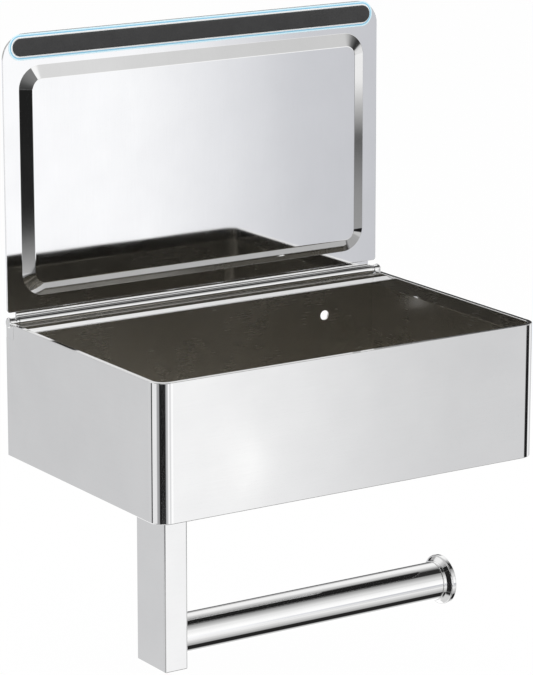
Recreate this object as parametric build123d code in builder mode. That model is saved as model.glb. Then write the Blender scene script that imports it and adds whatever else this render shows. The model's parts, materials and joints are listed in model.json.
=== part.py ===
from build123d import *
import math
import os

# Wall-hung toilet paper holder: a lidded sheet-metal box, a post under it and a bar for the roll.
# Millimetres. X runs left to right, the wall is the plane Y = 0 with the front towards -Y, Z is up.
# The origin is midway between the two wall screw holes.

# Box, outside sizes
box_width = 210.0
box_depth = 136.5
box_height = 65.0
box_sheet = 1.2
front_corner = 8.0  # radius of the two upright front corners
hem_height = 7.0  # the rim is folded inwards and down by this much
rim_flat = 1.8  # flat left between the two rounded edges of the rim

# Back panel with a ledge under the barrel, and the strip that ties the sides in front of the hinge
ledge_depth = 6.0  # wall to the ledge's front edge
ledge_side_gap = 0.2  # between the ledge's ends and the hems
fold_radius = 1.2  # middle line of the panel's fold
strip_front = 20.5  # wall to the strip's front edge
strip_depth = 5.2
strip_thickness = 1.2
strip_drop = 0.4  # rear edge below the rim
strip_fall = 0.5  # front edge below the rear one
strip_nose = 0.3

# Wall screw holes
wall_hole_diameter = 5.0
wall_hole_spacing = 150.0
wall_hole_drop = 20.0  # below the rim

# Lid sheet, upright when open
lid_sheet = 1.0
lid_lean = 0.3  # degrees past upright at the open stop
lid_wall_gap = 0.2  # open lid to the wall
lid_side_overhang = 0.2
lid_front_overhang = 2.55  # finger hold beyond the front of the box
lid_corner = 12.0  # radius at the free corners
lid_notch = 4.2  # the full width starts this far from the hinge axis
lid_notch_corner = 1.5

# Pressed dish of the lid
dish_side_margin = 8.3
dish_hinge_margin = 10.9  # from the hinge axis
dish_front_margin = 15.3
dish_corner = 11.5
dish_bevel = 6.2
dish_depth = 2.0
dish_edge_round = 0.5

# Foam strip that meets the rim, and its adhesive film
film_edge_margin = 0.2  # lid's free edge to the film
film_side_margin = 3.3
film_border = 2.0  # film showing all round the foam
film_thickness = 0.2
pad_width = 8.3
pad_thickness = 1.6
pad_rim_gap = 0.3  # foam to the rim with the lid shut

# Hinge
knuckle_bore = 3.0
knuckle_ledge_gap = 0.3
knuckle_end_room = 2.0  # barrel end to the ear
curl_slit = 0.4  # between the sheet and the end of its curl
pin_running_gap = 0.05
pin_head_diameter = 5.0
pin_head_height = 1.0
pin_head_round = 0.7
ear_shoulder = 1.0
ear_radius = 2.1
seam_gap = 0.1
washer_diameter = 4.4
washer_thickness = 1.0
washer_play = 0.3

# Post and bar
arm_inset = 20.8  # box's left face to the post's left face
arm_reach = 95.0  # wall to the bar's axis
post_width = 12.5
post_depth = 24.8
post_wall = 1.5
post_length = 81.2
post_edge = 1.0
post_end_break = 0.4
bar_diameter = 18.7
bar_wall = 1.2
bar_length = 147.1
bar_rise = 12.85  # bar axis above the post's lower end
fit_gap = 0.03  # per side, parts pressed into a tube

# Fasteners of the arm
hole_play = 0.25  # clearance holes, per side
thread_gap = 0.02  # between a thread's outside and its tapped hole
tap_run = 2.0  # tapped hole beyond the thread's end
screw_diameter = 4.0
screw_bite = 11.0
screw_edge = 5.0  # block's end to the screw's axis
screw_head_diameter = 7.6
screw_head_height = 2.4
screw_head_round = 1.4
screw_socket_flats = 2.5
screw_socket_depth = 1.4
screw_washer_diameter = 9.0
screw_washer_thickness = 0.8
block_height = 16.0
bolt_diameter = 6.0
bolt_bite = 10.0
bolt_head_flats = 10.0
bolt_head_height = 4.0
bolt_washer_diameter = 12.0
bolt_washer_thickness = 1.2
root_plug_length = 16.0
end_plug_gap = 1.0  # end plug to the bolt's washer

# Cap on the bar's free end
insert_length = 14.0
spigot_diameter = 6.0
spigot_length = 9.0
collar_step = 0.45  # collar beyond the bar's radius
collar_length = 1.5
flare_length = 1.7  # cone from the collar out to the flange
flange_diameter = 24.4
flange_thickness = 2.5
flange_land = 0.7  # flange's rim beyond the cone
flange_round = 0.6

# Heights and faces of the box
half_width = box_width / 2
hem_thickness = 2 * box_sheet
rim_z = wall_hole_drop
floor_z = rim_z - box_height
inner_half = half_width - box_sheet
mouth_half = half_width - hem_thickness
strip_top = rim_z - strip_drop

# Hinge line: the shut lid lies level on the foam, and the open lid just clears the wall
lean = math.radians(lid_lean)
knuckle_radius = knuckle_bore / 2 + lid_sheet
pin_radius = knuckle_bore / 2 - pin_running_gap
lid_rise = pad_rim_gap + pad_thickness + film_thickness + lid_sheet
hinge_z = rim_z + lid_rise - knuckle_radius
lid_back_reach = lid_wall_gap + knuckle_radius * math.cos(lean)
lid_reach = (box_depth + lid_front_overhang - lid_back_reach) / (1 + math.sin(lean))
hinge_y = -(lid_back_reach + lid_reach * math.sin(lean))
ledge_z = hinge_z - knuckle_radius - knuckle_ledge_gap
barrel_half = mouth_half - knuckle_end_room
ear_front = hinge_y - knuckle_radius - ear_shoulder
ear_back = -lid_wall_gap

# The lid's own plane: origin on the hinge axis, x along it, y up the lid, z out of its inner face
lid_plane = Plane(
    origin=(0, hinge_y, hinge_z),
    x_dir=(1, 0, 0),
    z_dir=(0, -math.cos(lean), math.sin(lean)),
)
lid_normal = Axis(lid_plane.origin, lid_plane.z_dir)
lid_outer = -knuckle_radius
lid_inner = lid_outer + lid_sheet
lid_width = box_width + 2 * lid_side_overhang

# Foam and film on the lid
film_width = pad_width + 2 * film_border
film_length = lid_width - 2 * film_side_margin
film_centre = lid_reach - film_edge_margin - film_width / 2
pad_length = film_length - 2 * film_border

# Post and bar places
post_left = arm_inset - half_width
post_right = post_left + post_width
post_centre = (post_left + post_right) / 2
post_bottom = floor_z - post_length
post_bore_width = post_width - 2 * post_wall
post_bore_depth = post_depth - 2 * post_wall
block_width = post_bore_width - 2 * fit_gap
block_depth = post_bore_depth - 2 * fit_gap
screw_spacing = block_depth - 2 * screw_edge
bar_y = -arm_reach
bar_z = post_bottom + bar_rise
bar_end = post_right + bar_length
plug_diameter = bar_diameter - 2 * (bar_wall + fit_gap)
bolt_washer_left = post_right - post_wall - bolt_washer_thickness
end_plug_height = bar_rise - bolt_washer_diameter / 2 - end_plug_gap
screw_places = [(post_centre, bar_y - screw_spacing / 2), (post_centre, bar_y + screw_spacing / 2)]
screw_seat = floor_z + box_sheet

# Cap's own plane: origin at the bar's end, x along the bar, y out from its axis
cap_plane = Plane(origin=(bar_end, bar_y, bar_z), x_dir=(1, 0, 0), z_dir=(0, -1, 0))
collar_radius = bar_diameter / 2 + collar_step
flange_radius = flange_diameter / 2
flange_start = collar_length + flare_length
flange_end = flange_start + flange_thickness

os.makedirs("parts", exist_ok=True)


def write(name, piece):
    """Label a finished piece and write it as its own file."""
    piece.label = name
    export_step(piece, f"parts/{name}.step")


def box_plan(inset):
    """Draw the box's plan, set in from its outside and rounded at the two front corners."""
    Rectangle(box_width - 2 * inset, box_depth - inset, align=(Align.CENTER, Align.MAX))
    fillet(vertices().group_by(Axis.Y)[0], front_corner - inset)


def dish_plan(inset):
    """Draw the dish's outline on the lid, set in from its outer edge."""
    width = lid_width - 2 * dish_side_margin
    length = lid_reach - dish_front_margin - dish_hinge_margin
    with Locations((0, dish_hinge_margin + length / 2)):
        RectangleRounded(width - 2 * inset, length - 2 * inset, dish_corner - inset)


# Front and sides of the box: one folded sheet with its rim hemmed inwards
with BuildPart() as box_shell:
    with BuildSketch(Plane.XY.offset(floor_z)):
        box_plan(0)
    extrude(amount=box_height)
    with BuildSketch(Plane.XY.offset(floor_z)):
        box_plan(box_sheet)
    extrude(amount=box_height - hem_height, mode=Mode.SUBTRACT)
    with BuildSketch(Plane.XY.offset(rim_z)):
        box_plan(hem_thickness)
    extrude(amount=-hem_height, mode=Mode.SUBTRACT)
    rim_edges = box_shell.edges().group_by(Axis.Z)[-1]
    fillet(rim_edges - rim_edges.group_by(Axis.Y)[-1], (hem_thickness - rim_flat) / 2)
    with BuildSketch(Plane.XY.offset(rim_z)):
        with Locations((mouth_half + hem_thickness / 2, 0), (-mouth_half - hem_thickness / 2, 0)):
            Rectangle(hem_thickness, seam_gap - ear_front, align=(Align.CENTER, Align.MAX))
    extrude(amount=-hem_height, mode=Mode.SUBTRACT)
write("box_shell", box_shell.part)

# Floor sheet, with holes for the post's screws
with BuildPart() as box_floor:
    with BuildSketch(Plane.XY.offset(floor_z)):
        box_plan(box_sheet)
        Rectangle(box_width, box_sheet, align=(Align.CENTER, Align.MAX), mode=Mode.SUBTRACT)
        with Locations(*screw_places):
            Circle(screw_diameter / 2 + hole_play, mode=Mode.SUBTRACT)
    extrude(amount=box_sheet)
write("box_floor", box_floor.part)

# Back panel: a sheet against the wall, folded forward into a ledge under the barrel
with BuildPart() as back_panel:
    with BuildSketch(Plane.YZ):
        with BuildLine():
            FilletPolyline(
                (-box_sheet / 2, floor_z),
                (-box_sheet / 2, ledge_z - box_sheet / 2),
                (-ledge_depth, ledge_z - box_sheet / 2),
                radius=fold_radius,
            )
        trace(line_width=box_sheet)
    extrude(amount=mouth_half - ledge_side_gap, both=True)
    with BuildSketch(Plane.XY.offset(floor_z)):
        Rectangle(2 * inner_half, box_sheet, align=(Align.CENTER, Align.MAX))
    extrude(amount=box_height - hem_height - seam_gap)
    with BuildSketch(Plane.XZ):
        with GridLocations(wall_hole_spacing, 0, 2, 1):
            Circle(wall_hole_diameter / 2)
    extrude(amount=box_sheet, mode=Mode.SUBTRACT)
write("back_panel", back_panel.part)

# Strip across the box in front of the hinge, from hem to hem, falling a little towards the front
with BuildPart() as rear_strip:
    with BuildSketch(Plane.YZ):
        with BuildLine():
            Polyline(
                (strip_depth - strip_front, strip_top),
                (strip_depth - strip_front, strip_top - strip_thickness),
                (-strip_front, strip_top - strip_thickness),
                (-strip_front, strip_top - strip_fall),
                close=True,
            )
        make_face()
        fillet(vertices().group_by(Axis.X)[0], strip_nose)
    extrude(amount=mouth_half - seam_gap, both=True)
write("rear_strip", rear_strip.part)

# Hinge ears: thick eyes let into the rear top corners of the sides
for ear_name, ear_start in (("hinge_ear_left", -half_width), ("hinge_ear_right", mouth_half)):
    with BuildPart() as hinge_ear:
        with BuildSketch(Plane.YZ.offset(ear_start)):
            with Locations((ear_front, rim_z - hem_height)):
                Rectangle(ear_back - ear_front, hem_height, align=(Align.MIN, Align.MIN))
            with Locations((hinge_y, rim_z)):
                Rectangle(2 * ear_radius, hinge_z - rim_z, align=(Align.CENTER, Align.MIN))
            with Locations((hinge_y, hinge_z)):
                Circle(ear_radius)
                Circle(pin_radius + fit_gap, mode=Mode.SUBTRACT)
        extrude(amount=hem_thickness)
    write(ear_name, hinge_ear.part)

# Hinge pin with a domed head outside each ear
with BuildPart() as hinge_pin:
    with BuildSketch(Plane.YZ):
        with Locations((hinge_y, hinge_z)):
            Circle(pin_radius)
    extrude(amount=half_width, both=True)
    for side in (-1, 1):
        with BuildSketch(Plane.YZ.offset(side * half_width)):
            with Locations((hinge_y, hinge_z)):
                Circle(pin_head_diameter / 2)
        extrude(amount=side * pin_head_height)
    pin_ends = hinge_pin.edges().filter_by(GeomType.CIRCLE).group_by(Axis.X)
    fillet(pin_ends[0] + pin_ends[-1], pin_head_round)
write("hinge_pin", hinge_pin.part)

# Washers on the pin, one at each end of the barrel
with BuildPart() as hinge_washers:
    for side in (-1, 1):
        with BuildSketch(Plane.YZ.offset(side * (barrel_half + washer_play))):
            with Locations((hinge_y, hinge_z)):
                Circle(washer_diameter / 2)
                Circle(pin_radius + pin_running_gap, mode=Mode.SUBTRACT)
        extrude(amount=side * washer_thickness)
write("hinge_washers", hinge_washers.part)

# Lid: a sheet with a dish pressed towards its inner face and its rear edge curled into the barrel
with BuildPart() as lid_panel:
    with BuildSketch(lid_plane.offset(lid_outer)):
        with Locations((0, lid_notch)):
            Rectangle(lid_width, lid_reach - lid_notch, align=(Align.CENTER, Align.MIN))
        fillet(vertices().group_by(Axis.Y)[-1], lid_corner)
        fillet(vertices().group_by(Axis.Y)[0], lid_notch_corner)
        Rectangle(2 * barrel_half, lid_notch + lid_notch_corner, align=(Align.CENTER, Align.MIN))
    extrude(amount=lid_sheet)
    with BuildSketch(lid_plane.offset(lid_inner)):
        dish_plan(0)
    with BuildSketch(lid_plane.offset(lid_inner + dish_depth)):
        dish_plan(dish_bevel)
    loft(ruled=True)
    fillet(lid_panel.edges().group_by(lid_normal)[-1], dish_edge_round)
    with BuildSketch(lid_plane.offset(lid_outer)):
        dish_plan(0)
    with BuildSketch(lid_plane.offset(lid_outer + dish_depth)):
        dish_plan(dish_bevel)
    loft(ruled=True, mode=Mode.SUBTRACT)
    with BuildSketch(Plane.YZ):
        with Locations((hinge_y, hinge_z)):
            Circle(knuckle_radius)
    extrude(amount=barrel_half, both=True)
    with BuildSketch(Plane.YZ):
        with Locations((hinge_y, hinge_z)):
            Circle(knuckle_bore / 2)
    extrude(amount=barrel_half, both=True, mode=Mode.SUBTRACT)
    with BuildSketch(lid_plane.offset(lid_inner)):
        Rectangle(2 * barrel_half, knuckle_radius, align=(Align.CENTER, Align.MIN))
    extrude(amount=curl_slit, mode=Mode.SUBTRACT)
write("lid_panel", lid_panel.part)

# Adhesive film and the foam strip on it
with BuildPart() as pad_film:
    with BuildSketch(lid_plane.offset(lid_inner)):
        with Locations((0, film_centre)):
            SlotOverall(film_length, film_width)
    extrude(amount=film_thickness)
write("pad_film", pad_film.part)

with BuildPart() as silencer_pad:
    with BuildSketch(lid_plane.offset(lid_inner + film_thickness)):
        with Locations((0, film_centre)):
            SlotOverall(pad_length, pad_width)
    extrude(amount=pad_thickness)
write("silencer_pad", silencer_pad.part)

# Post: rectangular tube hanging from the floor, drilled for the bar's bolt
with BuildPart() as arm_post:
    with BuildSketch(Plane.XY.offset(floor_z)):
        with Locations((post_centre, bar_y)):
            RectangleRounded(post_width, post_depth, post_edge)
    extrude(amount=-post_length)
    chamfer(arm_post.edges().group_by(Axis.Z)[0], post_end_break)
    with BuildSketch(Plane.XY.offset(floor_z)):
        with Locations((post_centre, bar_y)):
            Rectangle(post_bore_width, post_bore_depth)
    extrude(amount=-post_length, mode=Mode.SUBTRACT)
    with BuildSketch(Plane.YZ.offset(post_right)):
        with Locations((bar_y, bar_z)):
            Circle(bolt_diameter / 2 + hole_play)
    extrude(amount=-post_wall, mode=Mode.SUBTRACT)
write("arm_post", arm_post.part)

# Tapped block in the post's top
with BuildPart() as post_mount_block:
    with BuildSketch(Plane.XY.offset(floor_z)):
        with Locations((post_centre, bar_y)):
            Rectangle(block_width, block_depth)
    extrude(amount=-block_height)
    with BuildSketch(Plane.XY.offset(floor_z)):
        with Locations(*screw_places):
            Circle(screw_diameter / 2 + thread_gap)
    extrude(amount=-(screw_bite + tap_run), mode=Mode.SUBTRACT)
write("post_mount_block", post_mount_block.part)

# Washers and screws inside the box
with BuildPart() as post_washers:
    with BuildSketch(Plane.XY.offset(screw_seat)):
        with Locations(*screw_places):
            Circle(screw_washer_diameter / 2)
            Circle(screw_diameter / 2 + hole_play, mode=Mode.SUBTRACT)
    extrude(amount=screw_washer_thickness)
write("post_washers", post_washers.part)

head_seat = screw_seat + screw_washer_thickness
head_top = head_seat + screw_head_height
with BuildPart() as post_screws:
    with BuildSketch(Plane.XY.offset(head_seat)):
        with Locations(*screw_places):
            Circle(screw_head_diameter / 2)
    extrude(amount=screw_head_height)
    fillet(post_screws.edges().group_by(Axis.Z)[-1], screw_head_round)
    with BuildSketch(Plane.XY.offset(head_top)):
        with Locations(*screw_places):
            RegularPolygon(screw_socket_flats / 2, 6, major_radius=False)
    extrude(amount=-screw_socket_depth, mode=Mode.SUBTRACT)
    with BuildSketch(Plane.XY.offset(head_seat)):
        with Locations(*screw_places):
            Circle(screw_diameter / 2)
    extrude(amount=floor_z - screw_bite - head_seat)
write("post_screws", post_screws.part)

# Plug that closes the post's lower end
with BuildPart() as post_end_plug:
    with BuildSketch(Plane.XY.offset(post_bottom)):
        with Locations((post_centre, bar_y)):
            Rectangle(block_width, block_depth)
    extrude(amount=end_plug_height)
write("post_end_plug", post_end_plug.part)

# Bar for the roll
with BuildPart() as roll_bar:
    with BuildSketch(Plane.YZ.offset(post_right)):
        with Locations((bar_y, bar_z)):
            Circle(bar_diameter / 2)
            Circle(bar_diameter / 2 - bar_wall, mode=Mode.SUBTRACT)
    extrude(amount=bar_length)
write("roll_bar", roll_bar.part)

# Tapped plug in the bar's root, and the bolt and washer that draw it against the post
with BuildPart() as bar_root_plug:
    with BuildSketch(Plane.YZ.offset(post_right)):
        with Locations((bar_y, bar_z)):
            Circle(plug_diameter / 2)
    extrude(amount=root_plug_length)
    with BuildSketch(Plane.YZ.offset(post_right)):
        with Locations((bar_y, bar_z)):
            Circle(bolt_diameter / 2 + thread_gap)
    extrude(amount=bolt_bite + tap_run, mode=Mode.SUBTRACT)
write("bar_root_plug", bar_root_plug.part)

with BuildPart() as bar_washer:
    with BuildSketch(Plane.YZ.offset(bolt_washer_left)):
        with Locations((bar_y, bar_z)):
            Circle(bolt_washer_diameter / 2)
            Circle(bolt_diameter / 2 + hole_play, mode=Mode.SUBTRACT)
    extrude(amount=bolt_washer_thickness)
write("bar_washer", bar_washer.part)

with BuildPart() as bar_bolt:
    with BuildSketch(Plane.YZ.offset(bolt_washer_left)):
        with Locations((bar_y, bar_z)):
            RegularPolygon(bolt_head_flats / 2, 6, major_radius=False)
    extrude(amount=-bolt_head_height)
    with BuildSketch(Plane.YZ.offset(bolt_washer_left)):
        with Locations((bar_y, bar_z)):
            Circle(bolt_diameter / 2)
    extrude(amount=post_right + bolt_bite - bolt_washer_left)
write("bar_bolt", bar_bolt.part)

# Tapped insert in the bar's free end
with BuildPart() as bar_end_insert:
    with BuildSketch(Plane.YZ.offset(bar_end)):
        with Locations((bar_y, bar_z)):
            Circle(plug_diameter / 2)
    extrude(amount=-insert_length)
    with BuildSketch(Plane.YZ.offset(bar_end)):
        with Locations((bar_y, bar_z)):
            Circle(spigot_diameter / 2 + thread_gap)
    extrude(amount=-(spigot_length + tap_run), mode=Mode.SUBTRACT)
write("bar_end_insert", bar_end_insert.part)

# Cap: a threaded spigot, a collar, a cone and the flange that keeps the roll on
with BuildPart() as bar_end_cap:
    with BuildSketch(cap_plane):
        with BuildLine():
            Polyline(
                (-spigot_length, 0),
                (-spigot_length, spigot_diameter / 2),
                (0, spigot_diameter / 2),
                (0, collar_radius),
                (collar_length, collar_radius),
                (flange_start, flange_radius - flange_land),
                (flange_start, flange_radius),
                (flange_end, flange_radius),
                (flange_end, 0),
                close=True,
            )
        make_face()
    revolve(axis=Axis(cap_plane.origin, cap_plane.x_dir))
    flange_edges = bar_end_cap.edges().filter_by(GeomType.CIRCLE).sort_by(SortBy.RADIUS)[-2:]
    fillet(flange_edges, flange_round)
write("bar_end_cap", bar_end_cap.part)
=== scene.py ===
"""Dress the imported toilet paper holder: mirror-polished sheet metal, a foam strip and a plain studio.

Every length is in metres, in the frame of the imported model: the wall is the plane Y = 0, the front
faces -Y and Z is up. Round stretches are exact arcs, and every surface carries the normals of its
formula, so that the polished sheet reflects without facets.
"""
import json
import logging
import math
from dataclasses import dataclass, replace
from enum import Enum
from typing import Any, Mapping, Sequence

import bpy
import numpy as np
from mathutils import Matrix, Vector


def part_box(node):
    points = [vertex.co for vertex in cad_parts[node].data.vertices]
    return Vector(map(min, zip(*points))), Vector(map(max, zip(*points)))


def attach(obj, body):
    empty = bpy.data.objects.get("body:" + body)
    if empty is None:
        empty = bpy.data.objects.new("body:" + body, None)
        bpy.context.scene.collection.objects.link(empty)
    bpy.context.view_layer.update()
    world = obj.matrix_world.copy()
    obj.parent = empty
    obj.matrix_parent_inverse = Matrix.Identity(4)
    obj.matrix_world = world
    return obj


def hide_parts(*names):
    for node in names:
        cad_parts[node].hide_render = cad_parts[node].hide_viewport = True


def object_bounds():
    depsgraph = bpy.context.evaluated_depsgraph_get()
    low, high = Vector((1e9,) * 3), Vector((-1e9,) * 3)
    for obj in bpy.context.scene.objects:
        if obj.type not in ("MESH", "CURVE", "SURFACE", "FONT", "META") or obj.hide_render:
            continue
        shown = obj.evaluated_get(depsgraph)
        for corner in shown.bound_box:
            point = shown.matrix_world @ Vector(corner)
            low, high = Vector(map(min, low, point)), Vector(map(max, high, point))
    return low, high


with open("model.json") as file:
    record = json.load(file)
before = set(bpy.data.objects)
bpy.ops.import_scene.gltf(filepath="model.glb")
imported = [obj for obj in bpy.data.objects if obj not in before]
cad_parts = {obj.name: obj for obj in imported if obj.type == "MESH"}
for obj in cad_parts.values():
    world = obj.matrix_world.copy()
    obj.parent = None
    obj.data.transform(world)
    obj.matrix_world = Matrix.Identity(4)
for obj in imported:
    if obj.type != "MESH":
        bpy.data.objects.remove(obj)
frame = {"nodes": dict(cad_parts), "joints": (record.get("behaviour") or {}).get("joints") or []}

LOG = logging.getLogger("toilet_paper_holder")
CAD_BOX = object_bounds()

Pair = tuple[float, float]
Triple = tuple[float, float, float]
Stretch = tuple[float, float, float, float]


class Body(str, Enum):
    """The bodies that pieces ride on."""

    BOX = "box"
    LID = "lid"


class Slot(str, Enum):
    """The record's material slots, passed along with each new piece."""

    POLISHED = "polished_steel"
    FOAM = "foam"
    FILM = "adhesive_film"


class Coat(int, Enum):
    """Which of a sheet's two finishes a row of faces takes."""

    MAIN = 0
    OTHER = 1


@dataclass(frozen=True)
class Outline:
    """A line in a plane, with the unit normal on its right-hand side at every point."""

    points: np.ndarray
    normals: np.ndarray
    closed: bool


@dataclass(frozen=True)
class Grid:
    """A surface of two parameters: along a path, and along the section that is carried on it."""

    points: np.ndarray
    normals: np.ndarray
    path_closed: bool
    section_closed: bool
    inset: np.ndarray

    def beside(self, other: "Grid", closed: bool = False) -> "Grid":
        """Join another grid of the same path length to the end of this one's section.

        Args:
            other: The grid whose section goes on where this one's ends.
            closed: Whether the joined section runs back into its own start.

        Returns:
            One grid with both sections.
        """
        return Grid(
            np.concatenate([self.points, other.points], axis=1),
            np.concatenate([self.normals, other.normals], axis=1),
            self.path_closed,
            closed,
            np.concatenate([self.inset, other.inset]),
        )

    def placed(self, turn: np.ndarray, origin: Sequence[float]) -> "Grid":
        """Turn the grid by a 3 by 3 matrix and move it to an origin.

        Args:
            turn: Matrix whose columns are the grid's own axes in the model's frame.
            origin: Place of the grid's own origin.

        Returns:
            The grid in the model's frame.
        """
        points = self.points @ turn.T + np.asarray(origin)
        return replace(self, points=points, normals=self.normals @ turn.T)

    def index(self) -> np.ndarray:
        """Number the grid's vertices, path first."""
        count = self.points.shape[0] * self.points.shape[1]
        return np.arange(count).reshape(self.points.shape[:2])

    def quads(self) -> np.ndarray:
        """Work out the faces between the grid's rows.

        Returns:
            The four corners of every cell, in turning order seen from outside.
        """
        index = self.index()
        if self.path_closed:
            index = np.concatenate([index, index[:1]], axis=0)
        if self.section_closed:
            index = np.concatenate([index, index[:, :1]], axis=1)
        cells = [index[:-1, :-1], index[:-1, 1:], index[1:, 1:], index[1:, :-1]]
        return np.stack(cells, axis=-1).reshape(-1, 4)

    def caps(self) -> list[np.ndarray]:
        """Work out the flat faces that close an open path's two ends, or an open section's.

        Returns:
            The corners of each such face.
        """
        index = self.index()
        if self.section_closed and not self.path_closed:
            return [index[0][::-1], index[-1]]
        if self.path_closed and not self.section_closed:
            return [index[:, 0], index[:, -1][::-1]]
        return []


def right_of(direction: np.ndarray) -> np.ndarray:
    """Turn plane vectors a quarter turn to the right."""
    return np.stack([direction[..., 1], -direction[..., 0]], axis=-1)


def unit(vectors: np.ndarray) -> np.ndarray:
    """Scale vectors to length one."""
    return vectors / np.linalg.norm(vectors, axis=-1, keepdims=True)


def rounded(
    corners: Sequence[Pair], radii: Sequence[float], steps: int, closed: bool = True
) -> Outline:
    """Round the corners of a run of straight sides by tangent arcs.

    The arc of radius r starts r times the tangent of half the turn before its corner. Its normal swings
    evenly from the right of the incoming side to the right of the outgoing one, and its points are the
    centre plus r times that normal, or minus it where the line turns right.

    Args:
        corners: The corners, in order.
        radii: One radius for each rounded corner. An open line's two ends have none.
        steps: Straight steps in each arc.
        closed: Whether the last side runs back to the first corner.

    Returns:
        The rounded line with its exact normals.
    """
    spots = np.asarray(corners, dtype=float)
    if closed:
        before, here, after = np.roll(spots, 1, axis=0), spots, np.roll(spots, -1, axis=0)
    else:
        before, here, after = spots[:-2], spots[1:-1], spots[2:]
    size = np.asarray(radii, dtype=float)
    incoming = unit(here - before)
    outgoing = unit(after - here)
    first = right_of(incoming)
    cross = incoming[:, 0] * outgoing[:, 1] - incoming[:, 1] * outgoing[:, 0]
    turn = np.arctan2(cross, np.sum(incoming * outgoing, axis=1))
    signed = np.sign(turn) * size
    start = here - incoming * (size * np.tan(np.abs(turn) / 2))[:, None]
    centre = start - signed[:, None] * first
    share = np.linspace(0.0, 1.0, steps + 1)
    angle = np.arctan2(first[:, 1], first[:, 0])[:, None] + turn[:, None] * share
    normals = np.stack([np.cos(angle), np.sin(angle)], axis=-1)
    points = centre[:, None] + signed[:, None, None] * normals
    points, normals = points.reshape(-1, 2), normals.reshape(-1, 2)
    if not closed:
        points = np.concatenate([spots[:1], points, spots[-1:]])
        normals = np.concatenate([normals[:1], normals, normals[-1:]])
    return Outline(points, normals, closed)


def rectangle(low: Pair, high: Pair, radii: Sequence[float], steps: int) -> Outline:
    """Draw a rounded rectangle, turning left from its lowest corner.

    Args:
        low: Lowest corner.
        high: Highest corner.
        radii: Radius at low left, low right, high right and high left.
        steps: Straight steps in each arc.

    Returns:
        The closed outline.
    """
    return rounded([low, (high[0], low[1]), high, (low[0], high[1])], radii, steps)


def straight(start: float, end: float) -> Outline:
    """Draw a straight path along the first axis, with the section's depth along the second."""
    points = np.array([[start, 0.0], [end, 0.0]])
    return Outline(points, np.array([[0.0, -1.0], [0.0, -1.0]]), False)


def carry(path: Outline, section: Outline) -> Grid:
    """Carry a section along a path.

    A section's first coordinate is its depth inwards from the path, against the path's normal, and its
    second is its height. A point is the path's point, less the depth times the path's normal, raised by
    the height, and its normal is the section's normal in the same two directions.

    Args:
        path: Line in the plane of the first two axes.
        section: Line in depth and height, with its outer side on its right.

    Returns:
        The surface, one row of the section at each point of the path.
    """
    depth, height = section.points.T
    flat = path.points[:, None] - depth[None, :, None] * path.normals[:, None]
    raised = np.broadcast_to(height, flat.shape[:2])[..., None]
    lean = -section.normals[None, :, 0, None] * path.normals[:, None]
    rise = np.broadcast_to(section.normals[:, 1], flat.shape[:2])[..., None]
    return Grid(
        np.concatenate([flat, raised], axis=2),
        np.concatenate([lean, rise], axis=2),
        path.closed,
        section.closed,
        depth,
    )


def turned(section: Outline, axis: Sequence[float], steps: int) -> Grid:
    """Turn a section about a line along X.

    The path is a point on the line with normals evenly round it, so a section's depth is the radius
    with a minus sign, and its height is the place along X.

    Args:
        section: Line in depth and height, with its outer side on its right.
        axis: A point on the line.
        steps: Straight steps in a full turn.

    Returns:
        The turned surface in the model's frame.
    """
    angle = np.linspace(0.0, 2 * math.pi, steps, endpoint=False)
    normals = np.stack([np.cos(angle), np.sin(angle)], axis=-1)
    ring = Outline(np.zeros_like(normals), normals, True)
    turn = np.array([[0.0, 0.0, 1.0], [1.0, 0.0, 0.0], [0.0, 1.0, 0.0]])
    return carry(ring, section).placed(turn, (0.0, axis[1], axis[2]))


def face_normal(points: np.ndarray) -> np.ndarray:
    """Give a flat face's normal: half the sum of the cross products of its neighbouring corners."""
    arms = points - points.mean(axis=0)
    return unit(np.cross(arms, np.roll(arms, -1, axis=0)).sum(axis=0))


def mesh_of(
    name: str, grids: Sequence[Grid], rows: Sequence[np.ndarray] | None = None
) -> bpy.types.Mesh:
    """Put grids into one mesh, with smooth faces and the grids' own normals.

    Args:
        name: Name of the mesh.
        grids: The surfaces.
        rows: For each grid, the material number of each row of cells along the section.

    Returns:
        The mesh, with each point's depth in the section kept in the attribute inset.
    """
    faces: list[list[int]] = []
    normals: list[np.ndarray] = []
    numbers: list[np.ndarray] = []
    start = 0
    for place, grid in enumerate(grids):
        quads = grid.quads()
        flat_points = grid.points.reshape(-1, 3)
        row_count = len(grid.inset) - (0 if grid.section_closed else 1)
        row = np.zeros(row_count, dtype=int) if rows is None else rows[place]
        faces.extend((quads + start).tolist())
        normals.append(grid.normals.reshape(-1, 3)[quads].reshape(-1, 3))
        numbers.append(np.tile(row, len(quads) // row_count))
        for cap in grid.caps():
            faces.append((cap + start).tolist())
            normals.append(np.tile(face_normal(flat_points[cap]), (len(cap), 1)))
            numbers.append(np.zeros(1, dtype=int))
        start += len(flat_points)
    mesh = bpy.data.meshes.new(name)
    vertices = np.concatenate([grid.points.reshape(-1, 3) for grid in grids])
    mesh.from_pydata(vertices.tolist(), [], faces)
    mesh.polygons.foreach_set("use_smooth", np.ones(len(faces), dtype=bool))
    mesh.polygons.foreach_set("material_index", np.concatenate(numbers))
    inset = mesh.attributes.new("inset", "FLOAT", "POINT")
    depths = [np.tile(grid.inset, grid.points.shape[0]) for grid in grids]
    inset.data.foreach_set("value", np.concatenate(depths))
    mesh.normals_split_custom_set(np.concatenate(normals).tolist())
    mesh.update()
    return mesh


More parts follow.
